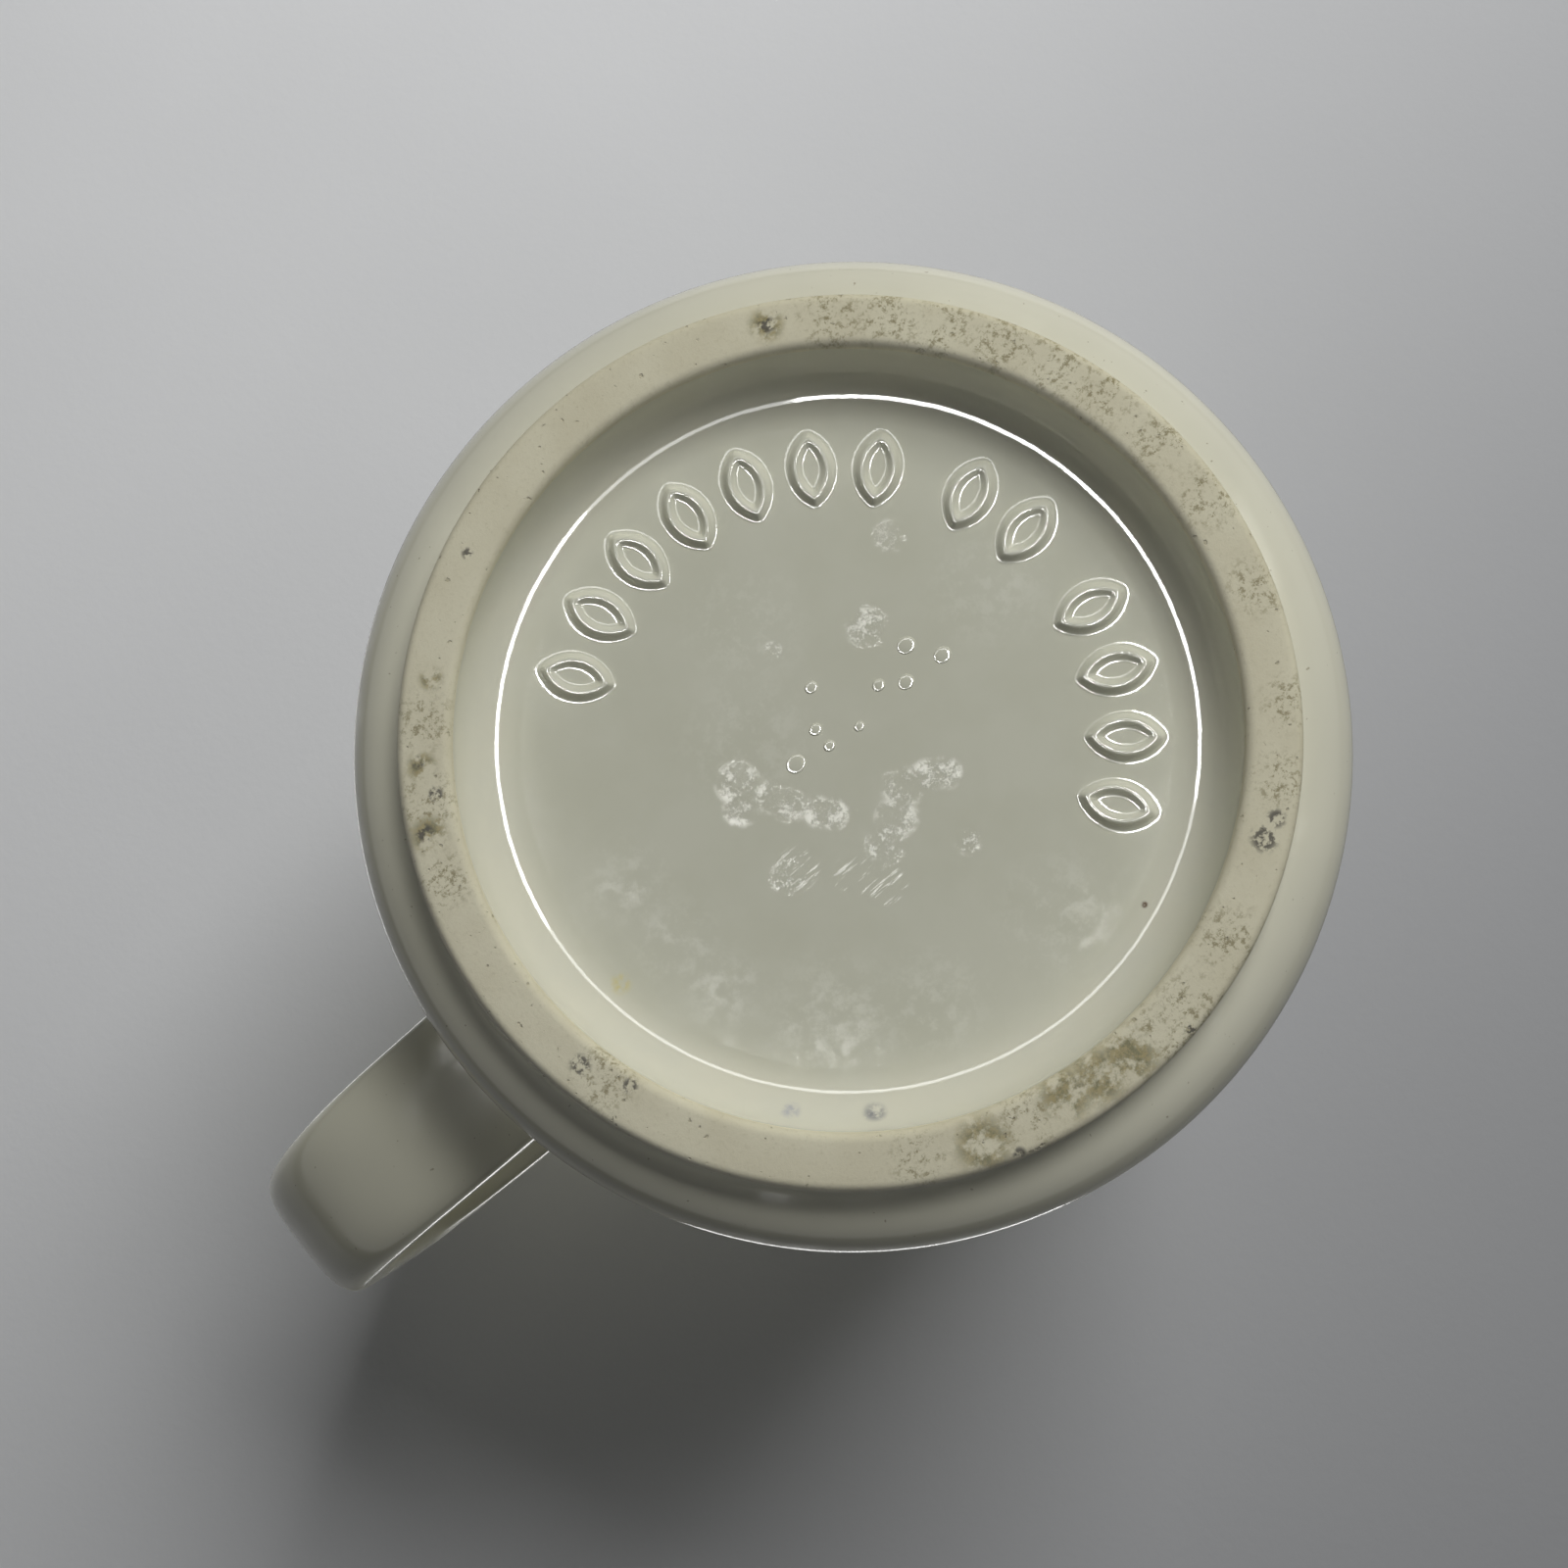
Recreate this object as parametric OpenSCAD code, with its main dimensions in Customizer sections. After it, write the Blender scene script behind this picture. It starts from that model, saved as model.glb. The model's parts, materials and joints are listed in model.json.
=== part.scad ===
// Shaving mug in cream glazed stoneware: a cast cup on a trimmed foot ring, and a
// strap handle that is luted to the cup's wall with clay slip.
// The mug stands on its foot ring with its opening up and its handle towards +X.
// The origin is at the middle of the foot ring, on the surface that the mug rests on.
// All sizes are in millimetres.

/* [Cup] */
// Height from the resting face to the rim
mug_height = 86; // [72:1:104]
// Outside diameter of the straight wall
cup_diameter = 85; // [72:1:104]
// Thickness of the wall, which the round rim follows
wall_thickness = 4.5; // [3.5:0.1:6]
// Thickness of the floor, between the recess below and the cup inside
floor_thickness = 5; // [4:0.5:8]
// Radius of the hollow corner between the inside floor and the wall
inside_corner = 9; // [4:0.5:12]
// Radius of the shoulder that turns the wall in towards the foot
shoulder_radius = 5; // [3:0.25:5.5]

/* [Foot] */
// How far the foot ring stands in from the wall
foot_inset = 6; // [5.75:0.25:9]
// Height of the foot ring, from its resting face to the shoulder
foot_height = 3.6; // [2.8:0.1:5]
// Width of the bare clay ring that the mug rests on
ring_width = 4.6; // [3:0.1:7]
// Radius on the ring's outer and inner edge
ring_edge = 0.8; // [0.4:0.1:1]
// Depth of the recess inside the ring
recess_depth = 5.5; // [5.5:0.1:8]
// Radius of the hollow cove round the recess floor
cove_radius = 4.5; // [3:0.1:4.5]

/* [Relief] */
// Length of each raised petal on the recess floor
petal_length = 6.5; // [4:0.1:9]
// Width of each petal at its middle
petal_width = 3.8; // [2:0.1:4.5]
// Height that a petal stands out from the floor
petal_height = 0.6; // [0.3:0.1:0.8]
// Angle from one petal to the next
petal_pitch = 14; // [13:0.5:16]
// Bare floor between the petals and the cove
petal_margin = 0.9; // [0.4:0.1:3]

/* [Handle] */
// Width of the strap, across the fingers' direction of grip
strap_width = 15.5; // [12:0.5:20]
// Thickness of the strap
strap_thickness = 6.5; // [5:0.5:9]
// Radius on the strap's four long edges
strap_edge = 2.4; // [1:0.1:2.4]
// How far the handle stands out from the wall
handle_reach = 30.5; // [23:0.5:36]
// Height of the lower arm's middle above the resting face
lower_arm_height = 22; // [18:1:26]
// Distance of the upper arm's middle below the rim
upper_arm_drop = 15; // [10:1:18]
// Radius of both bends, along the middle of the strap
bend_radius = 17; // [8:0.5:17]

/* [Slip joints] */
// How far the slip fillet climbs along the strap from the wall
slip_climb = 2.4; // [1.5:0.1:4]
// Thickness of the slip where it thins out on the strap
slip_lip = 0.3; // [0.2:0.1:0.8]

/* [Hidden] */

$fn = 96;
cup_radius = cup_diameter / 2;
inside_radius = cup_radius - wall_thickness;
inside_floor = recess_depth + floor_thickness;
foot_radius = cup_radius - foot_inset;
foot_fillet = max(0.2, foot_inset - shoulder_radius);
recess_radius = foot_radius - ring_width;
recess_floor_radius = recess_radius - cove_radius;
wall_start = foot_height + shoulder_radius;
past = 1;

// Each run of petals: the angle of its first petal from the handle, and its count
petal_runs = [[54, 7], [158, 2], [193, 4]];
petal_ring = recess_floor_radius - petal_margin - petal_length / 2;
petal_side = (petal_length * petal_length + petal_width * petal_width) / (4 * petal_width);

upper_arm_height = mug_height - upper_arm_drop;
grip_x = cup_radius + handle_reach - strap_thickness / 2;
bend_x = grip_x - bend_radius;
arm_start = cup_radius - wall_thickness * 2 / 3;

// The wall falls away from the strap's flat sides, so a slip collar starts lower
slip_half = strap_width / 2 + 2 * slip_climb;
slip_fall = cup_radius - sqrt(cup_radius * cup_radius - slip_half * slip_half);
slip_rise = slip_climb + slip_fall;

// Half section of the whole outside: foot ring, shoulder, wall and round rim
module outside_section() {
    square([foot_radius - ring_edge, foot_height]);
    translate([0, ring_edge])
        square([foot_radius, foot_height - ring_edge]);
    translate([foot_radius - ring_edge, ring_edge])
        circle(ring_edge);
    foot_fillet_section();
    translate([0, foot_height])
        square([cup_radius - shoulder_radius, shoulder_radius]);
    translate([cup_radius - shoulder_radius, wall_start])
        circle(shoulder_radius);
    translate([0, wall_start])
        square([cup_radius, mug_height - wall_thickness / 2 - wall_start]);
    translate([cup_radius - wall_thickness / 2, mug_height - wall_thickness / 2])
        circle(wall_thickness / 2);
}

// The small hollow where the foot ring's side meets the shoulder
module foot_fillet_section() {
    difference() {
        translate([foot_radius, foot_height - foot_fillet])
            square(foot_fillet);
        translate([foot_radius + foot_fillet, foot_height - foot_fillet])
            circle(foot_fillet);
    }
}

// Half section of the inside of the cup, with its hollow corner
module inside_section() {
    corner_x = inside_radius - inside_corner;
    translate([0, inside_floor])
        square([corner_x, mug_height]);
    translate([corner_x, inside_floor + inside_corner])
        circle(inside_corner);
    translate([0, inside_floor + inside_corner])
        square([inside_radius, mug_height]);
}

// Half section of the recess under the mug, with its cove and the ring's inner edge
module recess_section() {
    cove_start = recess_depth - cove_radius;
    translate([0, -past])
        square([recess_radius, past + cove_start]);
    translate([0, -past])
        square([recess_floor_radius, past + recess_depth]);
    intersection() {
        translate([recess_floor_radius, cove_start])
            circle(cove_radius);
        square([recess_radius, recess_depth]);
    }
    difference() {
        translate([recess_radius, -past])
            square([ring_edge, past + ring_edge]);
        translate([recess_radius + ring_edge, ring_edge])
            circle(ring_edge);
    }
}

// Outline of one petal: two arcs that meet in a point at each end
module petal_outline() {
    intersection() {
        translate([0, petal_side - petal_width / 2])
            circle(petal_side);
        translate([0, petal_width / 2 - petal_side])
            circle(petal_side);
    }
}

// Raised petals in three runs round the recess floor
module petals() {
    for (run = petal_runs)
        for (i = [0:run[1] - 1])
            rotate([0, 0, run[0] + i * petal_pitch])
                translate([petal_ring, 0, recess_depth - petal_height])
                    linear_extrude(petal_height + floor_thickness / 4)
                        petal_outline();
}

// The cup, its floor and its foot ring, cast as one piece of clay
module mug_body() {
    color([0.86, 0.85, 0.78]) {
        rotate_extrude()
            difference() {
                outside_section();
                inside_section();
                recess_section();
            }
        petals();
    }
}

// Cross section of the strap, lying flat, with its long edges rounded
module strap_section() {
    flat = strap_thickness - 2 * strap_edge;
    broad = strap_width - 2 * strap_edge;
    square([broad, strap_thickness], center = true);
    square([strap_width, flat], center = true);
    for (x = [-1, 1])
        for (y = [-1, 1])
            translate([x * broad / 2, y * flat / 2])
                circle(strap_edge);
}

// One straight arm of the handle, from inside the wall to the start of its bend
module arm(height) {
    translate([arm_start, 0, height])
        rotate([90, 0, 90])
            linear_extrude(bend_x - arm_start)
                strap_section();
}

// A quarter turn of the strap, from the angle start to 90 degrees past it
module bend(height, start) {
    translate([bend_x, 0, height])
        rotate([90, 0, 0])
            rotate([0, 0, start])
                rotate_extrude(angle = 90)
                    translate([bend_radius, 0])
                        rotate(90)
                            strap_section();
}

// The upright part of the strap, which the fingers hold
module grip() {
    grip_start = lower_arm_height + bend_radius;
    translate([grip_x, 0, grip_start])
        linear_extrude(upper_arm_height - bend_radius - grip_start)
            rotate(90)
                strap_section();
}

// The strap handle, with its two ends cut to lie on the cup's round wall
module handle() {
    color([0.82, 0.81, 0.73])
        difference() {
            union() {
                arm(lower_arm_height);
                bend(lower_arm_height + bend_radius, -90);
                grip();
                bend(upper_arm_height - bend_radius, 0);
                arm(upper_arm_height);
            }
            wall_cut();
        }
}

// The round outside of the cup, which everything luted to it is cut to fit
module wall_cut() {
    cylinder(h = mug_height, r = cup_radius, $fn = 720);
}

// A sloping collar round an arm, wide at the wall and thin on the strap
module slip_collar() {
    flat = strap_thickness - 2 * strap_edge;
    broad = strap_width - 2 * strap_edge;
    top = strap_edge + slip_lip;
    hull()
        for (x = [-1, 1])
            for (y = [-1, 1])
                translate([x * broad / 2, y * flat / 2, 0])
                    cylinder(h = slip_rise, r1 = top + slip_rise, r2 = top, $fn = 32);
}

// The clay slip that was wiped round one end of the handle before firing
module slip_joint(height) {
    color([0.84, 0.83, 0.75])
        difference() {
            translate([cup_radius - slip_fall, 0, height])
                rotate([90, 0, 90])
                    slip_collar();
            arm(height);
            wall_cut();
        }
}

module lower_slip_joint() {
    slip_joint(lower_arm_height);
}

module upper_slip_joint() {
    slip_joint(upper_arm_height);
}

mug_body();
handle();
lower_slip_joint();
upper_slip_joint();
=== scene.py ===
# %% [markdown]
# # A cream glazed shaving mug
# A shaving mug is one cast cup with a foot ring under it and a strap handle stuck on with clay
# slip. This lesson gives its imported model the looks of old, well-used glazed pottery. The packed
# model is the fixed frame: it says where everything is, and no piece here leaves its box.
# The start file holds a cube, a lamp and a camera, so they go first.

# %% Clear the file and load the frame
import json
from math import atan2, cos, degrees, pi, radians, sin, sqrt

import bpy
from mathutils import Matrix, Vector

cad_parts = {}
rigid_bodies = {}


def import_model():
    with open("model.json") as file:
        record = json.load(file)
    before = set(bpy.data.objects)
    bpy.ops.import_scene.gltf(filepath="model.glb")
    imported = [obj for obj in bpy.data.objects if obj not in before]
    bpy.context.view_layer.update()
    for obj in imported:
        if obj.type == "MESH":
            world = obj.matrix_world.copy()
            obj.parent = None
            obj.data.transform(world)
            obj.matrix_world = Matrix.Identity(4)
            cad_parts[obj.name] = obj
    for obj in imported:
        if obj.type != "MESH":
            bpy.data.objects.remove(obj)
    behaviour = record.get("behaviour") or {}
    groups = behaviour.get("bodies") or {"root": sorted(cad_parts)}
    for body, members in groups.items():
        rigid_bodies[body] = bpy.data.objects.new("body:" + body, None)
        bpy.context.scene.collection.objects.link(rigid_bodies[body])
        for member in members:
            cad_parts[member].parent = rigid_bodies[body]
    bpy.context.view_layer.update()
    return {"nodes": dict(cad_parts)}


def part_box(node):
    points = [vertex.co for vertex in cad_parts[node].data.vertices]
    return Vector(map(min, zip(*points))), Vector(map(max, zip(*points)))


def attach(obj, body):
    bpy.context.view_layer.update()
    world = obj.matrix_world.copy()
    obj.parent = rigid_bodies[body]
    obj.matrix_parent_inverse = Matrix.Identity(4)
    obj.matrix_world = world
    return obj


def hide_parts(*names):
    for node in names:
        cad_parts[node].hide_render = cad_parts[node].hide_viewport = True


bpy.ops.object.select_all(action="SELECT")
bpy.ops.object.delete()
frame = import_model()
bpy.ops.object.select_all(action="DESELECT")
MM = 0.001
cup_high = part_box("mug_body")[1]
handle_low, handle_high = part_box("handle")
cup_radius = cup_high.x
mug_height = cup_high.z
print("frame loaded:", sorted(frame["nodes"]), "cup radius", round(cup_radius, 4), "height", round(mug_height, 4))

# %% [markdown]
# ## The half section of the cup
# A potter makes a round cup with one half section that turns about the middle. The same works
# here: a list of points runs from the middle of the recess under the cup, over the foot ring,
# up the wall, over the rim and down to the middle of the inside floor. Round corners are arcs
# from one small helper. Points lie close together where the raised petals will need them.

# %% Sizes of the section
wall = 4.5 * MM
floor_thickness = 5 * MM
inside_corner = 9 * MM
shoulder_radius = 5 * MM
foot_inset = 6 * MM
foot_height = 3.6 * MM
ring_width = 4.6 * MM
ring_edge = 0.8 * MM
recess_depth = 5.5 * MM
cove_radius = 4.5 * MM

foot_radius = cup_radius - foot_inset
foot_fillet = foot_inset - shoulder_radius
recess_radius = foot_radius - ring_width
floor_radius = recess_radius - cove_radius
inside_radius = cup_radius - wall
inside_floor = recess_depth + floor_thickness
print("foot radius", round(foot_radius / MM, 2), "recess floor radius", round(floor_radius / MM, 2), "mm")


# %% Points of the section
def arc(centre_r, centre_z, radius, start, end, steps):
    """Points on an arc in the half section, from one angle in degrees to another."""
    turns = [radians(start + (end - start) * i / steps) for i in range(steps + 1)]
    return [(centre_r + radius * cos(a), centre_z + radius * sin(a)) for a in turns]


def level(start_r, end_r, z, steps):
    """Points on a level stretch, without its first and last point."""
    return [(start_r + (end_r - start_r) * i / steps, z) for i in range(1, steps)]


petal_length = 6.5 * MM
petal_width = 3.8 * MM
petal_height = 0.6 * MM
petal_ring = floor_radius - 0.9 * MM - petal_length / 2
relief_start = petal_ring - petal_length / 2 - 0.5 * MM
rim_radius = wall / 2

section = [(0, recess_depth)]
section += level(0, relief_start, recess_depth, 9)
section += level(relief_start, floor_radius, recess_depth, 42)
section += arc(floor_radius, recess_depth - cove_radius, cove_radius, 90, 0, 18)
section += arc(recess_radius + ring_edge, ring_edge, ring_edge, 180, 270, 6)
section += level(recess_radius + ring_edge, foot_radius - ring_edge, 0, 4)
section += arc(foot_radius - ring_edge, ring_edge, ring_edge, -90, 0, 6)
section += arc(foot_radius + foot_fillet, foot_height - foot_fillet, foot_fillet, 180, 90, 6)
section += arc(cup_radius - shoulder_radius, foot_height + shoulder_radius, shoulder_radius, -90, 0, 12)[1:]
section += [(cup_radius, mug_height * part / 6) for part in range(1, 6)]
section += arc(cup_radius - rim_radius, mug_height - rim_radius, rim_radius, 0, 180, 14)
section += [(inside_radius, mug_height * part / 6) for part in range(5, 1, -1)]
section += arc(inside_radius - inside_corner, inside_floor + inside_corner, inside_corner, 0, -90, 14)
section += level(inside_radius - inside_corner, 0, inside_floor, 5)
section += [(0, inside_floor)]
print(len(section), "points in the half section")

# %% [markdown]
# ## Turning the cup
# The section could be a curve with a Screw modifier, but Spin in edit mode makes the same lathe
# form in one step and leaves a plain mesh. One vertex is all that it starts from: a plane whose
# corners are merged. Extrude then draws the section, point by point. Spin can turn a shape
# inside out, so the doubles are merged and the normals are made to point outwards.


# %% Turn the cup
def start_mesh(name, add_primitive, **settings):
    """Adds a primitive with nothing else selected, names it and opens it in edit mode."""
    bpy.ops.object.select_all(action="DESELECT")
    add_primitive(**settings)
    piece = bpy.context.object
    piece.name = name
    bpy.ops.object.mode_set(mode="EDIT")
    bpy.ops.mesh.select_all(action="SELECT")
    return piece


def close_mesh(piece):
    """Merges doubles, turns the faces outwards, places the mesh and shades it smooth."""
    bpy.ops.mesh.select_all(action="SELECT")
    bpy.ops.mesh.remove_doubles(threshold=0.0005 * MM)
    bpy.ops.mesh.normals_make_consistent(inside=False)
    bpy.ops.object.mode_set(mode="OBJECT")
    bpy.ops.object.transform_apply(location=True, rotation=True, scale=True)
    bpy.ops.object.shade_smooth()
    print(piece.name, len(piece.data.polygons), "faces")
    return piece


def turned_piece(name, points, steps):
    """Turns a half section of (radius, height) points about the Z axis."""
    piece = start_mesh(name, bpy.ops.mesh.primitive_plane_add, size=MM)
    bpy.ops.mesh.merge(type="CENTER")
    bpy.ops.transform.translate(value=(points[0][0], 0, points[0][1]))
    for (r0, z0), (r1, z1) in zip(points, points[1:]):
        bpy.ops.mesh.extrude_vertices_move(TRANSFORM_OT_translate={"value": (r1 - r0, 0, z1 - z0)})
    bpy.ops.mesh.select_all(action="SELECT")
    bpy.ops.mesh.spin(steps=steps, angle=2 * pi, center=(0, 0, 0), axis=(0, 0, 1))
    return close_mesh(piece)


cup = turned_piece("cup", section, 640)

# %% [markdown]
# ## Raised petals under the cup
# The mould leaves raised marks round the recess floor. Here they are plain petals, each a raised
# rim round a lower middle, so that glaze pools in them and catches the light. They could be
# separate pieces, but cast marks run smoothly into the floor. So a vertex group holds how high
# each point stands, and a Displace modifier lifts the floor by it.

# %% Lift the petals
petal_runs = [(54, 7), (158, 2), (193, 4)]
petal_pitch = 14
petal_angles = [first + i * petal_pitch for first, count in petal_runs for i in range(count)]
petal_side = (petal_length ** 2 + petal_width ** 2) / (4 * petal_width)


def smooth(value, low, high):
    """0 below low, 1 above high, and a soft S between them."""
    t = min(1, max(0, (value - low) / (high - low)))
    return t * t * (3 - 2 * t)


def petal_shape(along, across):
    """Height of a petal, from 0 to 1, at a place measured from its middle."""
    inset = petal_side - sqrt(along ** 2 + (abs(across) + petal_side - petal_width / 2) ** 2)
    rim = smooth(inset, -0.2 * MM, 0.5 * MM)
    hollow = smooth(inset, 0.6 * MM, 1.15 * MM)
    return rim * (1 - 0.7 * hollow)


def lift_by_group(piece, weights, height, group_name):
    """Moves vertices along Z by weight times height, with a Displace modifier."""
    group = piece.vertex_groups.new(name=group_name)
    for index, weight in weights.items():
        group.add([index], weight, "REPLACE")
    lift = piece.modifiers.new(group_name, "DISPLACE")
    lift.direction = "Z"
    lift.mid_level = 0
    lift.strength = height
    lift.vertex_group = group_name
    bpy.ops.object.modifier_apply(modifier=group_name)


petal_weights = {}
for vertex in cup.data.vertices:
    place = vertex.co.xy
    if abs(vertex.co.z - recess_depth) > 0.001 * MM or place.length < relief_start:
        continue
    for angle in petal_angles:
        outward = Vector((cos(radians(angle)), sin(radians(angle))))
        weight = petal_shape(place.dot(outward) - petal_ring, place.cross(outward))
        if weight > 0 and place.dot(outward) > 0:
            petal_weights[vertex.index] = weight
lift_by_group(cup, petal_weights, -petal_height, "petals")
print(len(petal_angles), "petals,", len(petal_weights), "vertices lifted")

# %% [markdown]
# ## Glaze drips on the recess floor
# Where the glaze ran thick it dried in a few low round drips near the middle. A drip is a small
# dome less than a tenth of a millimetre high. Each is the cap of a sphere: the sphere's lower
# part is cut off with Bisect, and the cap is sunk a hair into the floor. One dome is shaped and
# the others are scaled copies, all joined into one piece.

# %% Shape the drips
drip_places = [(164.6, 9.4, 0.85), (180.7, 10.8, 0.8), (97.9, 5.1, 0.6), (164.1, 5.3, 0.6), (178.8, 7.0, 0.75),
               (57, 2.5, 0.6), (11.4, 1.4, 0.55), (184.2, 1.6, 0.5), (12.2, 4.6, 0.9)]
drip_height = 0.13 * MM
drip_sink = 0.01 * MM


def drip(angle, distance, radius):
    """One low dome on the recess floor, hanging down from it."""
    turn = radians(angle)
    centre = Vector((distance * MM * cos(turn), distance * MM * sin(turn), recess_depth + drip_sink))
    piece = start_mesh("drip", bpy.ops.mesh.primitive_uv_sphere_add,
                       segments=28, ring_count=16, radius=radius * MM, location=centre)
    bpy.ops.mesh.bisect(plane_co=centre, plane_no=(0, 0, 1), clear_outer=True, use_fill=True)
    bpy.ops.mesh.select_all(action="SELECT")
    bpy.ops.transform.resize(value=(1, 0.86, drip_height / (radius * MM)), center_override=centre)
    return close_mesh(piece)


drips = [drip(*place) for place in drip_places]
for piece in drips:
    piece.select_set(True)
bpy.ops.object.join()
drip_piece = bpy.context.object
drip_piece.name = "glaze_drips"
print("drips joined:", len(drip_piece.data.polygons), "faces")

# %% [markdown]
# ## The strap handle
# A strap handle is one flat strip of clay, bent while soft. It starts as a flat disc at the lower
# arm, pushed to a crowned oblong, and Extrude and Spin carry it out, round the lower bend, up,
# round the upper bend and back to the cup. The potter's fingers thin the strap away from its ends, so its
# width is eased a little there. A Boolean with a cylinder cuts both ends to the cup's wall.

# %% Sizes of the strap
strap_width = handle_high.y - handle_low.y
strap_thickness = 6.5 * MM
strap_roundness = 3.2
strap_facets = 56
bend_radius = 17 * MM
lower_z = handle_low.z + strap_thickness / 2
upper_z = handle_high.z - strap_thickness / 2
grip_x = handle_high.x - strap_thickness / 2
bend_x = grip_x - bend_radius
arm_start = cup_radius - wall / 2
print("strap", round(strap_width / MM, 1), "by", round(strap_thickness / MM, 1), "mm")


# %% Bend the strap
def draw_out(offset, steps):
    """Extrudes the selected end in equal steps."""
    for _ in range(steps):
        bpy.ops.mesh.extrude_region_move(TRANSFORM_OT_translate={"value": offset / steps})


def strap_outline(grow):
    """(y, z) points round the strap's crowned cross section, made wider by grow."""
    points = []
    for i in range(strap_facets):
        turn = 2 * pi * i / strap_facets
        y, z = (abs(part) ** (2 / strap_roundness) * (1 if part > 0 else -1) for part in (cos(turn), sin(turn)))
        points.append(((strap_width / 2 + grow) * y, (strap_thickness / 2 + grow) * z))
    return points


strap = start_mesh("strap_handle", bpy.ops.mesh.primitive_circle_add, vertices=strap_facets, fill_type="NGON")
bpy.ops.object.mode_set(mode="OBJECT")
for vertex, (y, z) in zip(strap.data.vertices, strap_outline(0)):
    vertex.co = (arm_start, y, lower_z + z)
bpy.ops.object.mode_set(mode="EDIT")
bpy.ops.mesh.select_all(action="SELECT")
arm = Vector((bend_x - arm_start, 0, 0))
rise = Vector((0, 0, upper_z - lower_z - 2 * bend_radius))
draw_out(arm, 4)
bpy.ops.mesh.spin(steps=28, angle=pi / 2, center=(bend_x, 0, lower_z + bend_radius), axis=(0, 1, 0))
draw_out(rise, 6)
bpy.ops.mesh.spin(steps=28, angle=pi / 2, center=(bend_x, 0, upper_z - bend_radius), axis=(0, 1, 0))
draw_out(-arm, 4)
close_mesh(strap)
reach = handle_high.x - cup_radius
for vertex in strap.data.vertices:
    eased = smooth(vertex.co.x - cup_radius, 0, reach)
    vertex.co.y *= 1 - 0.065 * eased


# %% Cut the ends of the strap to the wall
def cut_to_wall(piece):
    """Cuts away what lies inside the cup's outside, with an exact Boolean."""
    bpy.ops.object.select_all(action="DESELECT")
    bpy.ops.mesh.primitive_cylinder_add(vertices=640, radius=cup_radius, depth=mug_height,
                                        location=(0, 0, mug_height / 2))
    core = bpy.context.object
    bpy.context.view_layer.objects.active = piece
    cut = piece.modifiers.new("wall cut", "BOOLEAN")
    cut.operation = "DIFFERENCE"
    cut.solver = "EXACT"
    cut.object = core
    bpy.ops.object.modifier_apply(modifier=cut.name)
    bpy.data.objects.remove(core)
    print(piece.name, "cut to the wall:", len(piece.data.polygons), "faces")


cut_to_wall(strap)
strap.select_set(True)
bpy.ops.object.shade_smooth_by_angle(angle=radians(40))

# %% [markdown]
# ## The slip fillets
# Slip wiped round each end of the strap leaves a hollow fillet, as wide at the wall as it is high
# on the strap. Bevel can't follow two different pieces, so the fillet is drawn by its rule: rings
# of the strap's outline, each a little wider and nearer the wall than the last, on a quarter
# circle. Each ring sits on the round wall, because its X follows the wall's curve.

# %% Sizes and rings of a fillet
slip_climb = 2.4 * MM
slip_spread = 2.7 * MM
slip_backing = 0.2 * MM
hollow_steps = 9


def wall_x(y):
    """X of the cup's outside at a distance y from the handle's middle plane."""
    return sqrt(cup_radius ** 2 - y ** 2)


# %% Build both fillets
def slip_fillet(name, height):
    """A ring of slip round the strap at that height, hollow outside and closed behind."""
    hollow = [radians(90 * i / hollow_steps) for i in range(hollow_steps + 1)]
    rings = [(slip_spread * (1 - sin(t)), slip_climb * (1 - cos(t))) for t in hollow]
    rings += [(-slip_backing, slip_climb), (-slip_backing, 0.0), (slip_spread / 2, 0.0)]
    count = strap_facets
    points = []
    for grow, climb in rings:
        points += [(wall_x(y) + climb, y, height + z) for y, z in strap_outline(grow)]
    faces = []
    for ring in range(len(rings)):
        after = (ring + 1) % len(rings)
        for i in range(count):
            j = (i + 1) % count
            faces.append((ring * count + i, ring * count + j, after * count + j, after * count + i))
    mesh = bpy.data.meshes.new(name)
    mesh.from_pydata(points, [], faces)
    piece = bpy.data.objects.new(name, mesh)
    bpy.context.collection.objects.link(piece)
    bpy.ops.object.select_all(action="DESELECT")
    piece.select_set(True)
    bpy.context.view_layer.objects.active = piece
    bpy.ops.object.mode_set(mode="EDIT")
    close_mesh(piece)
    bpy.ops.object.shade_smooth_by_angle(angle=radians(60))
    return piece


lower_slip = slip_fillet("lower_slip", lower_z)
upper_slip = slip_fillet("upper_slip", upper_z)

# %% [markdown]
# ## Tools for the finishes
# Every finish is a node tree that reads Object coordinates, so its marks stay where they are on
# the mug. A few helpers keep the trees short: one adds a node and links its inputs, and the
# others make a noise, a soft step and a mix. A mark at a place is a soft disc, broken by noise.


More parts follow.
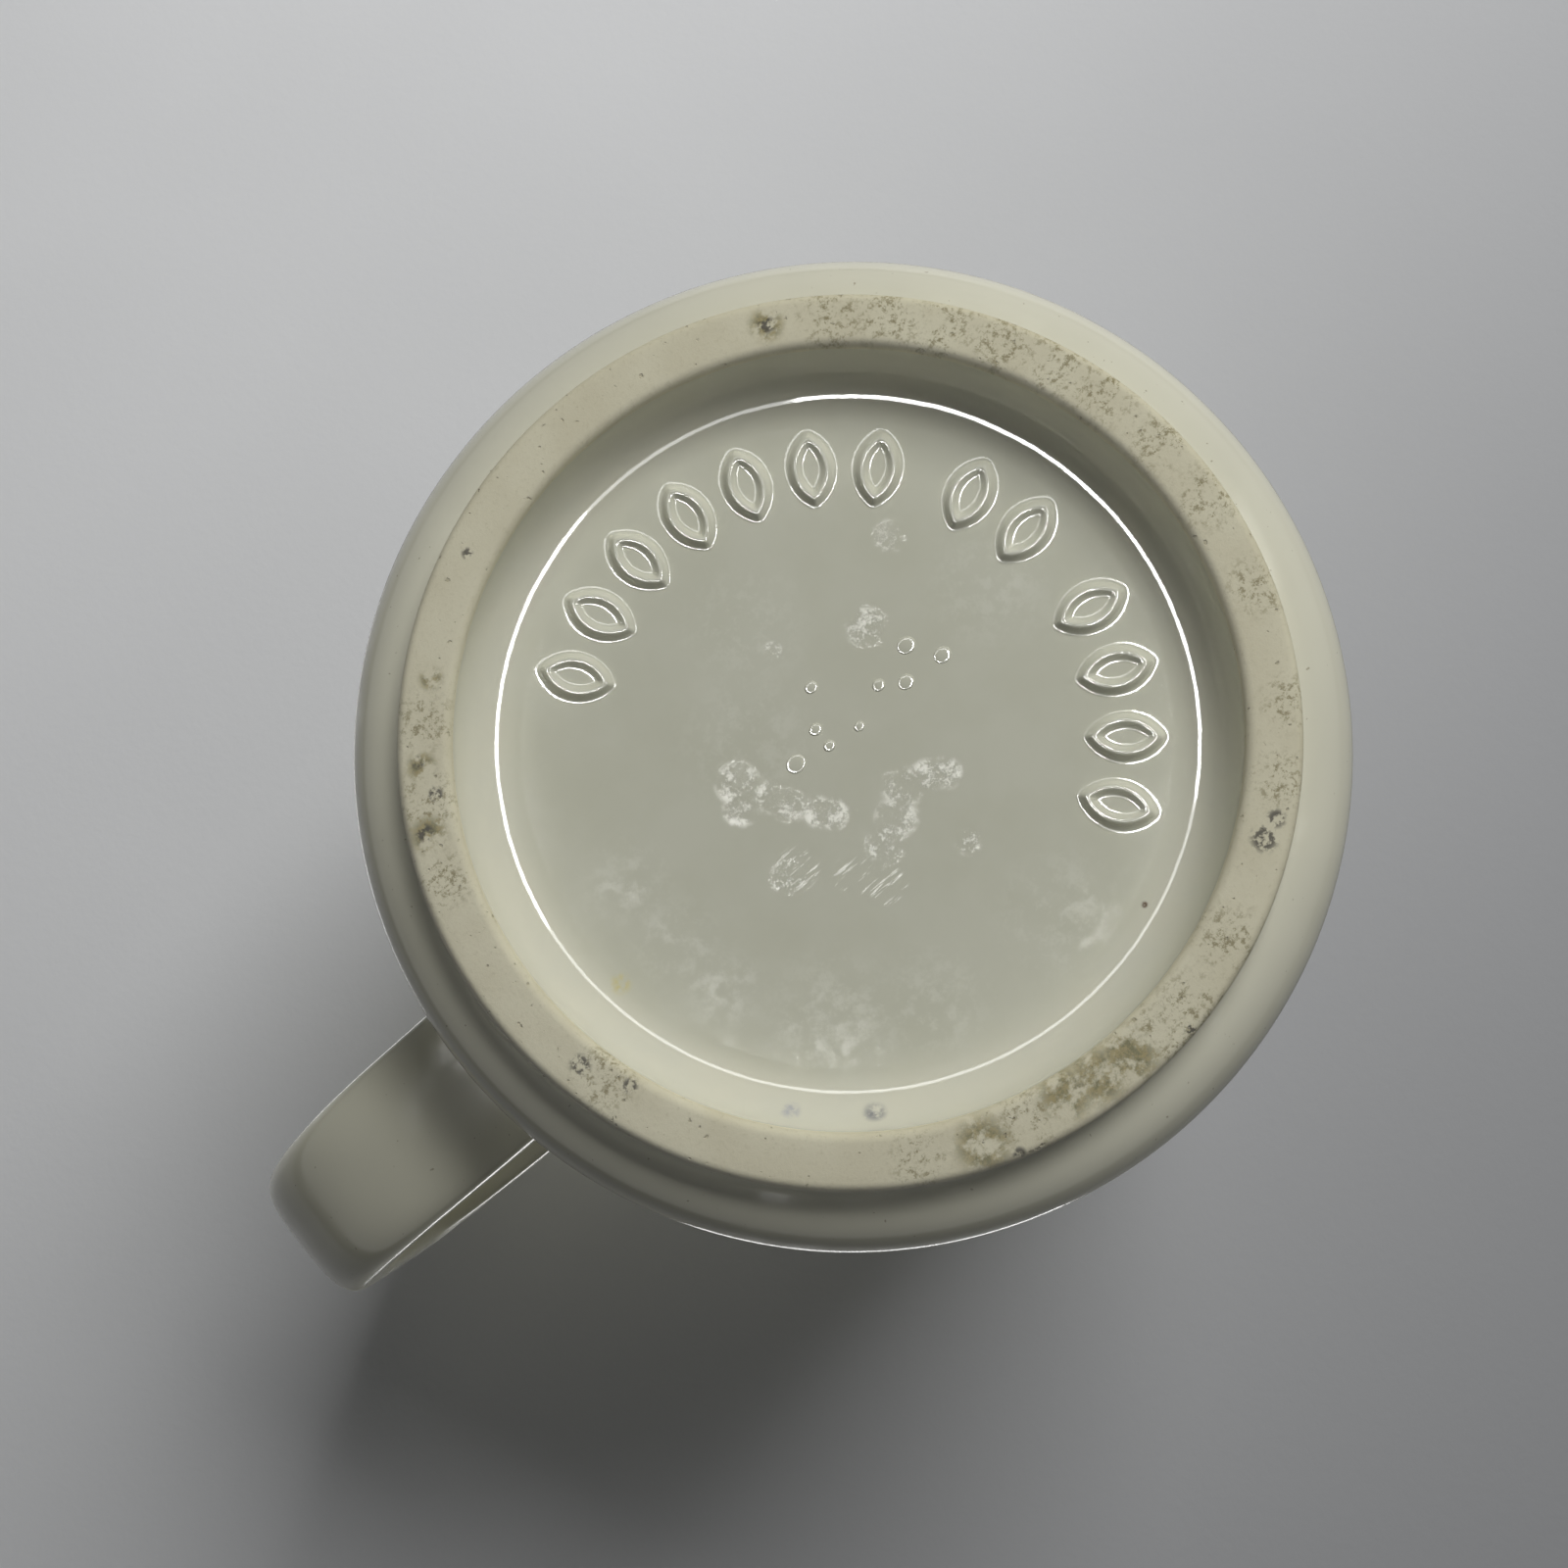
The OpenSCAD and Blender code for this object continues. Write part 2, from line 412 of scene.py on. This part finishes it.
# %% Node helpers
class Finish:
    """A material whose nodes are added by short calls."""

    def __init__(self, name):
        self.material = bpy.data.materials.new(name)
        self.material.use_nodes = True
        self.nodes = self.material.node_tree.nodes
        self.links = self.material.node_tree.links
        self.shader = self.nodes["Principled BSDF"]
        self.coords = self.nodes.new("ShaderNodeTexCoord").outputs["Object"]

    def plug(self, socket, value):
        """Links a node's output, or sets a plain value."""
        if isinstance(value, bpy.types.NodeSocket):
            self.links.new(value, socket)
        else:
            socket.default_value = value

    def maths(self, operation, first, second=0.0, clamp=False):
        node = self.nodes.new("ShaderNodeMath")
        node.operation = operation
        node.use_clamp = clamp
        self.plug(node.inputs[0], first)
        self.plug(node.inputs[1], second)
        return node.outputs[0]

    def noise(self, size, detail=3.0, roughness=0.55, coords=None):
        """Noise with lumps of about that size in metres, from 0 to 1."""
        node = self.nodes.new("ShaderNodeTexNoise")
        self.plug(node.inputs["Vector"], coords or self.coords)
        node.inputs["Scale"].default_value = 1 / size
        node.inputs["Detail"].default_value = detail
        node.inputs["Roughness"].default_value = roughness
        return node.outputs["Fac"]

    def step(self, value, low, high, start=0.0, end=1.0):
        """A soft step from start to end as the value goes from low to high."""
        node = self.nodes.new("ShaderNodeMapRange")
        node.interpolation_type = "SMOOTHSTEP"
        self.plug(node.inputs["Value"], value)
        node.inputs["From Min"].default_value = low
        node.inputs["From Max"].default_value = high
        node.inputs["To Min"].default_value = start
        node.inputs["To Max"].default_value = end
        return node.outputs["Result"]

    def mix(self, share, first, second):
        """Mixes two colours, (r, g, b) or linked."""
        node = self.nodes.new("ShaderNodeMix")
        node.data_type = "RGBA"
        self.plug(node.inputs["Factor"], share)
        for socket, colour in ((node.inputs[6], first), (node.inputs[7], second)):
            self.plug(socket, colour if isinstance(colour, bpy.types.NodeSocket) else (*colour, 1))
        return node.outputs[2]

    def stretched(self, angle, lengths):
        """Object coordinates turned about Z by an angle and scaled along each axis."""
        node = self.nodes.new("ShaderNodeMapping")
        self.plug(node.inputs["Vector"], self.coords)
        node.inputs["Rotation"].default_value = (0, 0, radians(angle))
        node.inputs["Scale"].default_value = lengths
        return node.outputs["Vector"]

    def from_axis(self):
        """Distance from the mug's middle axis, and height above the resting face."""
        split = self.nodes.new("ShaderNodeSeparateXYZ")
        self.plug(split.inputs[0], self.coords)
        across = self.maths("POWER", split.outputs["X"], 2)
        across = self.maths("ADD", across, self.maths("POWER", split.outputs["Y"], 2))
        return self.maths("SQRT", across), split.outputs["Z"]

    def disc(self, angle, distance, radius, z=0.0, soft=0.5):
        """1 inside a ball at a place given by angle and distance in mm, fading at its edge."""
        turn = radians(angle)
        node = self.nodes.new("ShaderNodeVectorMath")
        node.operation = "DISTANCE"
        self.plug(node.inputs[0], self.coords)
        node.inputs[1].default_value = (distance * MM * cos(turn), distance * MM * sin(turn), z)
        return self.step(node.outputs["Value"], radius * MM * (1 - soft), radius * MM * (1 + soft), 1.0, 0.0)

    def discs(self, places, z=0.0, soft=0.5):
        """The strongest of several discs, each (angle, distance, radius)."""
        total = 0.0
        for place in places:
            total = self.maths("MAXIMUM", total, self.disc(*place, z=z, soft=soft))
        return total

    def bump(self, height, distance, strength=1.0, normal=None):
        node = self.nodes.new("ShaderNodeBump")
        node.inputs["Strength"].default_value = strength
        node.inputs["Distance"].default_value = distance
        self.plug(node.inputs["Height"], height)
        if normal is not None:
            self.plug(node.inputs["Normal"], normal)
        return node.outputs["Normal"]

    def finish(self, colour, roughness, normal=None, ior=1.5):
        self.plug(self.shader.inputs["Base Color"], colour)
        self.plug(self.shader.inputs["Roughness"], roughness)
        self.shader.inputs["IOR"].default_value = ior
        if normal is not None:
            self.plug(self.shader.inputs["Normal"], normal)
        return self.material


def srgb(red, green, blue):
    """A colour picked from a 0 to 255 chart, as the linear values that shaders use."""
    return tuple(((c / 255 + 0.055) / 1.055) ** 2.4 for c in (red, green, blue))


GLAZE = srgb(212, 210, 191)
GLAZE_POOLED = srgb(198, 198, 180)
BARE_CLAY = srgb(204, 199, 172)
print("glaze colour", [round(c, 3) for c in GLAZE])

# %% [markdown]
# ## Cream glaze on the cup and handle
# The glaze is glossy and nearly even. What makes it look real is small: a faint change of tone
# where it ran thinner, tiny dark specks of iron, and a slow waviness that bends the reflections.
# Wear dulls it a little in patches.


# %% The cream glaze
def cream_glaze(name, colour, tone=0.5):
    finish = Finish(name)
    drift = finish.step(finish.noise(18 * MM, 2.0), 0.35, 0.65)
    paler = tuple(min(1, c * 1.02) for c in colour)
    deeper = tuple(c * 0.97 for c in colour)
    base = finish.mix(drift, deeper, paler)
    specks = finish.step(finish.noise(0.5 * MM, 1.0), 0.765, 0.80)
    base = finish.mix(finish.maths("MULTIPLY", specks, tone), base, srgb(120, 104, 70))
    haze = finish.step(finish.noise(9 * MM, 4.0), 0.45, 0.75)
    rough = finish.step(haze, 0.0, 1.0, 0.09, 0.24)
    waves = finish.bump(finish.noise(7 * MM, 1.0), 0.05 * MM)
    normal = finish.bump(finish.noise(0.35 * MM, 1.0), 0.002 * MM, normal=waves)
    return finish.finish(base, rough, normal)


cup_glaze = cream_glaze("cup glaze", GLAZE)
handle_glaze = cream_glaze("handle glaze", srgb(208, 206, 186))
slip_glaze = cream_glaze("slip glaze", srgb(203, 201, 180))
print("cream glazes ready")

# %% [markdown]
# ## Glaze in the recess
# The floor under the mug is greyer, because the glaze pooled there. It has pale matte scuffs near
# the middle, thin slanting scratches, hazy patches, and a few yellow, rusty and grey spots. The
# scuffs lose their gloss, so the same mask sets colour and roughness.


# %% The recess glaze
scratch_turn = -90


def recess_glaze():
    finish = Finish("recess glaze")
    radius, height = finish.from_axis()
    on_floor = finish.step(radius, floor_radius - 1.5 * MM, floor_radius + 3 * MM, 1.0, 0.0)
    base = finish.mix(on_floor, GLAZE, GLAZE_POOLED)
    drift = finish.step(finish.noise(7 * MM, 3.0), 0.3, 0.7, 0.0, 0.5)
    base = finish.mix(drift, base, srgb(206, 206, 190))

    haze_zone = finish.discs([(350, 21.9, 3.4), (6.9, 21.7, 3.2), (336, 23, 3.0), (312.8, 23.3, 5.0),
                              (292, 23, 4.0), (260.6, 23, 4.6), (174.5, 17.7, 4.5), (89.2, 12.7, 4.5),
                              (40, 8, 5)], z=recess_depth, soft=0.6)
    haze = finish.maths("MULTIPLY", haze_zone, finish.step(finish.noise(1.6 * MM, 8.0, 0.8), 0.46, 0.60))
    haze = finish.maths("MULTIPLY", haze, on_floor)

    scuff_zone = finish.discs([(142.2, 9.6, 1.6), (92, 9.6, 0.7), (17.5, 9.7, 1.7), (6, 10.6, 1.3), (2, 8.0, 1.2),
                               (349.8, 7.3, 1.3), (330, 6.6, 1.2), (318.7, 6.5, 1.2), (290, 9.6, 1.5),
                               (278, 8.0, 1.6), (262.2, 6.4, 1.6), (246, 7.6, 1.3), (240.3, 9.0, 1.2),
                               (261.3, 13.5, 1.0), (143.2, 17.6, 1.3), (333, 12.6, 1.3)],
                              z=recess_depth, soft=0.35)
    scuff_break = finish.step(finish.noise(1.3 * MM, 9.0, 0.85), 0.515, 0.54)
    scuffs = finish.maths("MULTIPLY", scuff_zone, scuff_break)

    along = finish.stretched(scratch_turn, (1, 16, 1))
    scratch_lines = finish.step(finish.noise(4.0 * MM, 3.0, 0.7, coords=along), 0.57, 0.60)
    scratch_zone = finish.discs([(330.5, 11.7, 1.7), (307, 11.5, 1.6), (294.6, 12.9, 1.5)],
                                z=recess_depth, soft=0.25)
    scuffs = finish.maths("MAXIMUM", scuffs, finish.maths("MULTIPLY", scratch_lines, scratch_zone))

    base = finish.mix(finish.maths("MULTIPLY", haze, 0.22), base, srgb(228, 228, 214))
    base = finish.mix(finish.maths("MULTIPLY", scuffs, 0.5), base, srgb(232, 231, 216))
    spots = [((95.5, 29.2, 0.5), 4.0, srgb(168, 140, 72)), ((353, 27.6, 0.8), 5.2, srgb(206, 198, 150)),
             ((306.3, 30.4, 0.9), 3.6, srgb(128, 128, 132)), ((250.4, 28.2, 0.25), 5.4, srgb(90, 60, 40)),
             ((319, 30.6, 0.8), 3.6, srgb(176, 176, 176))]
    for place, z, colour in spots:
        mask = finish.disc(*place, z=z * MM, soft=0.5)
        mask = finish.maths("MULTIPLY", mask, finish.step(finish.noise(0.9 * MM, 3.0), 0.35, 0.6))
        base = finish.mix(mask, base, colour)

    rough = finish.maths("ADD", 0.055, finish.maths("MULTIPLY", haze, 0.07))
    rough = finish.maths("ADD", rough, finish.maths("MULTIPLY", scuffs, 0.5), clamp=True)
    waves = finish.bump(finish.noise(4.5 * MM, 1.5), 0.035 * MM)
    fine = finish.bump(finish.noise(1.4 * MM, 1.0), 0.006 * MM, normal=waves)
    normal = finish.bump(scuffs, 0.01 * MM, normal=fine)
    return finish.finish(base, rough, normal)


under_glaze = recess_glaze()
print("recess glaze:", len(under_glaze.node_tree.nodes), "nodes")

# %% [markdown]
# ## Bare clay on the foot ring
# The ring is wiped clean of glaze before firing, so that the mug doesn't stick in the kiln. Bare
# clay is matte and sandy, with pits. Years on wet shelves left green and brown grime in it,
# more on one side than on the other, and a chip or two.


# %% The bare clay
def bare_clay():
    finish = Finish("bare clay")
    sand = finish.noise(0.45 * MM, 5.0, 0.75)
    drift = finish.noise(6 * MM, 3.0)
    base = finish.mix(finish.step(drift, 0.3, 0.7), srgb(196, 190, 162), BARE_CLAY)
    base = finish.mix(finish.step(sand, 0.52, 0.72, 0.0, 0.35), base, srgb(164, 156, 122))

    heavy = finish.discs([(270.2, 34.0, 2.1), (275, 33.8, 2.0), (279.9, 33.5, 1.9), (292.5, 34.4, 2.0),
                          (120.3, 34.3, 1.3), (48.1, 33.9, 0.9), (35.9, 34.3, 1.1), (26.5, 34.5, 1.4)], soft=0.5)
    light = finish.discs([(129.2, 34.2, 2.6), (137.2, 34.4, 2.6), (144.8, 34.3, 2.6), (153, 34.4, 2.4),
                          (161.1, 34.5, 2.6), (168.5, 34.8, 2.6), (178.7, 34.9, 2.4), (188.5, 34.8, 2.4),
                          (201.9, 35.1, 2.2), (217.8, 35.4, 2.0), (228, 34.6, 2.0), (250, 34.4, 2.4),
                          (259.9, 34.9, 2.4), (265, 34.5, 2.4), (286, 33.9, 2.4), (301, 34.4, 2.0),
                          (345, 33.6, 2.4), (42, 34.2, 2.2), (31, 34.2, 2.4), (20, 34.3, 2.0)], soft=0.6)
    clumps = finish.noise(2.2 * MM, 4.0, 0.7)
    grains = finish.noise(0.7 * MM, 5.0, 0.8)
    heavy_mask = finish.maths("MULTIPLY", heavy, finish.step(clumps, 0.40, 0.55))
    light_mask = finish.maths("MULTIPLY", light, finish.step(grains, 0.48, 0.60))
    light_mask = finish.maths("MULTIPLY", light_mask, finish.step(clumps, 0.38, 0.52))
    green = finish.mix(finish.step(grains, 0.4, 0.6), srgb(96, 92, 40), srgb(148, 134, 80))
    base = finish.mix(finish.maths("MULTIPLY", light_mask, 0.85), base, srgb(120, 110, 66))
    base = finish.mix(finish.maths("MULTIPLY", heavy_mask, 0.9), base, green)
    dark = finish.discs([(236, 34.2, 1.0), (233, 34.8, 0.7), (31.9, 33.4, 0.6), (36.5, 34.6, 0.5), (27, 34.8, 0.7),
                         (66.3, 34.2, 0.45), (120.3, 34.3, 0.7), (348.7, 33.9, 0.8), (341.5, 33.0, 0.6),
                         (288.6, 36.0, 0.5), (262.3, 36.0, 0.5)], soft=0.4)
    dark = finish.maths("MULTIPLY", dark, finish.step(finish.noise(0.6 * MM, 3.0), 0.45, 0.56))
    base = finish.mix(finish.maths("MULTIPLY", dark, 0.9), base, srgb(52, 46, 28))
    pits = finish.step(finish.noise(0.8 * MM, 2.0), 0.68, 0.74)
    base = finish.mix(finish.maths("MULTIPLY", pits, 0.45), base, srgb(132, 122, 86))

    sandy = finish.bump(sand, 0.05 * MM, 0.8)
    pitted = finish.bump(finish.maths("SUBTRACT", 1.0, pits), 0.10 * MM, 0.8, normal=sandy)
    return finish.finish(base, 0.86, pitted, ior=1.45)


clay = bare_clay()
print("bare clay:", len(clay.node_tree.nodes), "nodes")

# %% [markdown]
# ## Give each face its finish
# One cup carries three finishes: clay on the ring, the recess glaze inside it and cream glaze on
# all the rest. The ring's border is a loop of the mesh, so faces are sorted by their place.

# %% Sort the faces
cup.data.materials.clear()
for material in (cup_glaze, under_glaze, clay):
    cup.data.materials.append(material)
for face in cup.data.polygons:
    centre = face.center
    across = centre.xy.length
    if centre.z < 0.93 * ring_edge and across > recess_radius:
        face.material_index = 2
    elif across < recess_radius and centre.z < recess_depth + 0.001 * MM:
        face.material_index = 1
for piece, material in ((drip_piece, under_glaze), (strap, handle_glaze), (lower_slip, slip_glaze),
                        (upper_slip, slip_glaze)):
    piece.data.materials.clear()
    piece.data.materials.append(material)
print("clay faces:", sum(f.material_index == 2 for f in cup.data.polygons))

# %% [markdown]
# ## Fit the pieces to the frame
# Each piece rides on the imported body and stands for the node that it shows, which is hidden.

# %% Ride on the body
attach(cup, "root")
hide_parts("mug_body")
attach(drip_piece, "root")
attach(strap, "root")
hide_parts("handle")
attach(lower_slip, "root")
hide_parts("lower_slip_joint")
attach(upper_slip, "root")
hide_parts("upper_slip_joint")
print("pieces ride on the frame")

# %% [markdown]
# ## The camera
# The camera looks up at the foot of the mug, a little from one side, with the handle at the lower
# left. Its place and its aim are measured from the middle of the foot ring.

# %% Place the camera
camera_place = Vector((10.1, -15.1, -124.6)) * MM
camera_aim = Vector((6.5, -0.3, 0)) * MM
camera_up = radians(130.7)

camera_data = bpy.data.cameras.new("camera")
camera_data.lens = 36
camera_data.sensor_width = 36
camera_data.clip_start = 1 * MM
camera = bpy.data.objects.new("camera", camera_data)
bpy.context.scene.collection.objects.link(camera)
backward = (camera_place - camera_aim).normalized()
rightward = Vector((cos(camera_up), sin(camera_up), 0)).cross(backward).normalized()
upward = backward.cross(rightward)
turn = Matrix((rightward, upward, backward)).transposed().to_4x4()
camera.matrix_world = Matrix.Translation(camera_place) @ turn
bpy.context.scene.camera = camera
print("camera looks along", [round(c, 3) for c in -backward])

# %% [markdown]
# ## Floor, backdrop, lamps and world
# The floor lies under the foot and shows only from above. The backdrop lies on the rim and shows
# only from below, where the mug is seen from under its foot. Its colour carries painted shade,
# darker towards one side of the view. Both let light pass, so each half of the room keeps its own
# lamps. The walls mirror them, but the recess looks straight past them.


# %% Floor and backdrop
# The direction in which the backdrop's painted shade grows darker.
painted_shade_side = rightward * 0.85 - upward * 0.5
floor_fade = 0.3
mirror_radius = 0.1


def one_sided(name, colour, seen_above, painted_shade_colour=None):
    """A matte stage finish that shows from one side and is clear from the other, with painted shade when a shade
    colour is given.
    """
    finish = Finish(name)
    tone = finish.mix(finish.step(finish.noise(60 * MM, 2.0), 0.3, 0.7), colour,
                      tuple(c * 0.97 for c in colour))
    # Painted shade: the colour fades from the sheet's pale tone to a darker grey towards one side, standing in for
    # light falling off across it.
    if painted_shade_colour is not None:
        along = finish.nodes.new("ShaderNodeVectorMath")
        along.operation = "DOT_PRODUCT"
        finish.plug(along.inputs[0], finish.coords)
        along.inputs[1].default_value = painted_shade_side
        tone = finish.mix(finish.step(along.outputs["Value"], -0.17, 0.17), tone, painted_shade_colour)
    normal = finish.bump(finish.noise(1.2 * MM, 3.0), 0.03 * MM)
    finish.finish(tone, 0.9, normal)
    finish.shader.inputs["Specular IOR Level"].default_value = 0.15
    geometry = finish.nodes.new("ShaderNodeNewGeometry")
    rays = finish.nodes.new("ShaderNodeLightPath")
    back = geometry.outputs["Backfacing"]
    shown = finish.maths("SUBTRACT", 1.0, back) if seen_above else back
    camera_ray, glossy_ray = rays.outputs["Is Camera Ray"], rays.outputs["Is Glossy Ray"]
    if seen_above:
        radius = finish.from_axis()[0]
        camera_ray = finish.maths("MULTIPLY", camera_ray, finish.step(radius, floor_fade, 4 * floor_fade, 1.0, 0.0))
        glossy_ray = finish.maths("MULTIPLY", glossy_ray, finish.maths("GREATER_THAN", radius, recess_radius))
    else:
        facing = finish.nodes.new("ShaderNodeLayerWeight")
        facing.inputs["Blend"].default_value = 0.5
        facing = facing.outputs["Facing"]
        camera_ray = finish.maths("MULTIPLY", camera_ray, finish.step(facing, 0.35, 0.5, 1.0, 0.0))
        far_out = finish.maths("GREATER_THAN", finish.from_axis()[0], mirror_radius)
        steep_or_far = finish.maths("MAXIMUM", finish.step(facing, 0.1, 0.2, 1.0, 0.0), far_out)
        glossy_ray = finish.maths("MULTIPLY", glossy_ray, steep_or_far)
    shown = finish.maths("MULTIPLY", shown, finish.maths("MAXIMUM", camera_ray, glossy_ray))
    clear = finish.nodes.new("ShaderNodeBsdfTransparent")
    pick = finish.nodes.new("ShaderNodeMixShader")
    finish.plug(pick.inputs[0], shown)
    finish.plug(pick.inputs[1], clear.outputs[0])
    finish.plug(pick.inputs[2], finish.shader.outputs[0])
    finish.plug(finish.nodes["Material Output"].inputs["Surface"], pick.outputs[0])
    return finish.material


def stage_sheet(name, size, height, material):
    """A level square sheet of the stage."""
    bpy.ops.object.select_all(action="DESELECT")
    bpy.ops.mesh.primitive_plane_add(size=size, location=(0, 0, height))
    sheet = bpy.context.object
    sheet.name = name
    bpy.ops.object.transform_apply(location=True)
    sheet.data.materials.append(material)
    return sheet


floor = stage_sheet("floor", 6, -0.1 * MM, one_sided("floor paper", srgb(206, 206, 206), True))
# The backdrop paints shade: near white on one side, darker grey towards the lower right of the view.
backdrop_with_painted_shade = one_sided("backdrop paper with painted shade", srgb(246, 247, 248), False, srgb(158, 159, 161))
backdrop = stage_sheet("backdrop", 0.9, mug_height, backdrop_with_painted_shade)
print("stage sheets placed")


# %% Lamps and world
def soft_lamp(name, place, aim, size, power):
    """A square area lamp that points at a place."""
    data = bpy.data.lights.new(name, "AREA")
    data.size = size
    data.energy = power
    lamp = bpy.data.objects.new(name, data)
    lamp.location = place
    lamp.rotation_euler = (Vector(aim) - Vector(place)).to_track_quat("-Z", "Y").to_euler()
    bpy.context.scene.collection.objects.link(lamp)
    lamp.visible_camera = False
    return lamp


middle = Vector((0, 0, mug_height / 2))
window_side = camera_up + radians(27.6)
window_place = Vector((0.43 * cos(window_side), 0.43 * sin(window_side), -0.42))
window = soft_lamp("window below", window_place, (0, 0, 0.02), 0.34, 3.2)
window.visible_glossy = False
soft_lamp("fill below", camera_place * 3.2, (0, 0, 0), 0.5, 0.04)
soft_lamp("key above", (0.5, -0.65, 1.05), middle, 0.7, 8)
soft_lamp("fill above", (0.75, 0.75, 0.9), middle, 0.8, 5)

world = bpy.data.worlds.new("room")
bpy.context.scene.world = world
world.use_nodes = True
room = world.node_tree.nodes["Background"]
room.inputs["Color"].default_value = (0.82, 0.84, 0.86, 1)
rays = world.node_tree.nodes.new("ShaderNodeLightPath")
seen = world.node_tree.nodes.new("ShaderNodeMapRange")
seen.inputs["To Min"].default_value = 0.06
seen.inputs["To Max"].default_value = 0.45
world.node_tree.links.new(rays.outputs["Is Camera Ray"], seen.inputs["Value"])
world.node_tree.links.new(seen.outputs["Result"], room.inputs["Strength"])
bpy.context.scene.view_settings.view_transform = "Standard"

# %% [markdown]
# ## A ring of light that only shows as glints
# A polished floor shows a lamp wherever its mirror image falls. The ring below the mug is just
# wider than what the flat recess floor mirrors to the camera, so it draws fine bright lines only
# where the glaze bends: along the floor's edge, on the petals and on the drips. Two arcs of it
# are bright and the rest is weak.

# %% The glint ring
mirrored_radius = 2 * floor_radius
glint_inner = mirrored_radius + 3 * MM
glint_outer = mirrored_radius + 26 * MM
bright_arcs = [(-57, 55), (184, 260)]


def glow(name, strength):
    """A material that only gives light."""
    material = bpy.data.materials.new(name)
    material.use_nodes = True
    nodes = material.node_tree.nodes
    emission = nodes.new("ShaderNodeEmission")
    emission.inputs["Strength"].default_value = strength
    material.node_tree.links.new(emission.outputs[0], nodes["Material Output"].inputs["Surface"])
    return material


ring_lamp = start_mesh("glint_ring", bpy.ops.mesh.primitive_circle_add, vertices=144,
                       radius=glint_inner, fill_type="NOTHING")
bpy.ops.mesh.extrude_region_move()
widen = glint_outer / glint_inner
bpy.ops.transform.resize(value=(widen, widen, 1), center_override=(0, 0, 0))
close_mesh(ring_lamp)
ring_lamp.data.materials.append(glow("bright glow", 50))
ring_lamp.data.materials.append(glow("weak glow", 8))
for face in ring_lamp.data.polygons:
    place = degrees(atan2(face.center.y, face.center.x))
    in_arc = any(start < turn < end for start, end in bright_arcs for turn in (place, place + 360))
    face.material_index = 0 if in_arc else 1
ring_lamp.data.transform(Matrix.Translation((-camera_place.x, -camera_place.y, camera_place.z)))
ring_lamp.visible_camera = False
ring_lamp.visible_diffuse = False
ring_lamp.visible_shadow = False
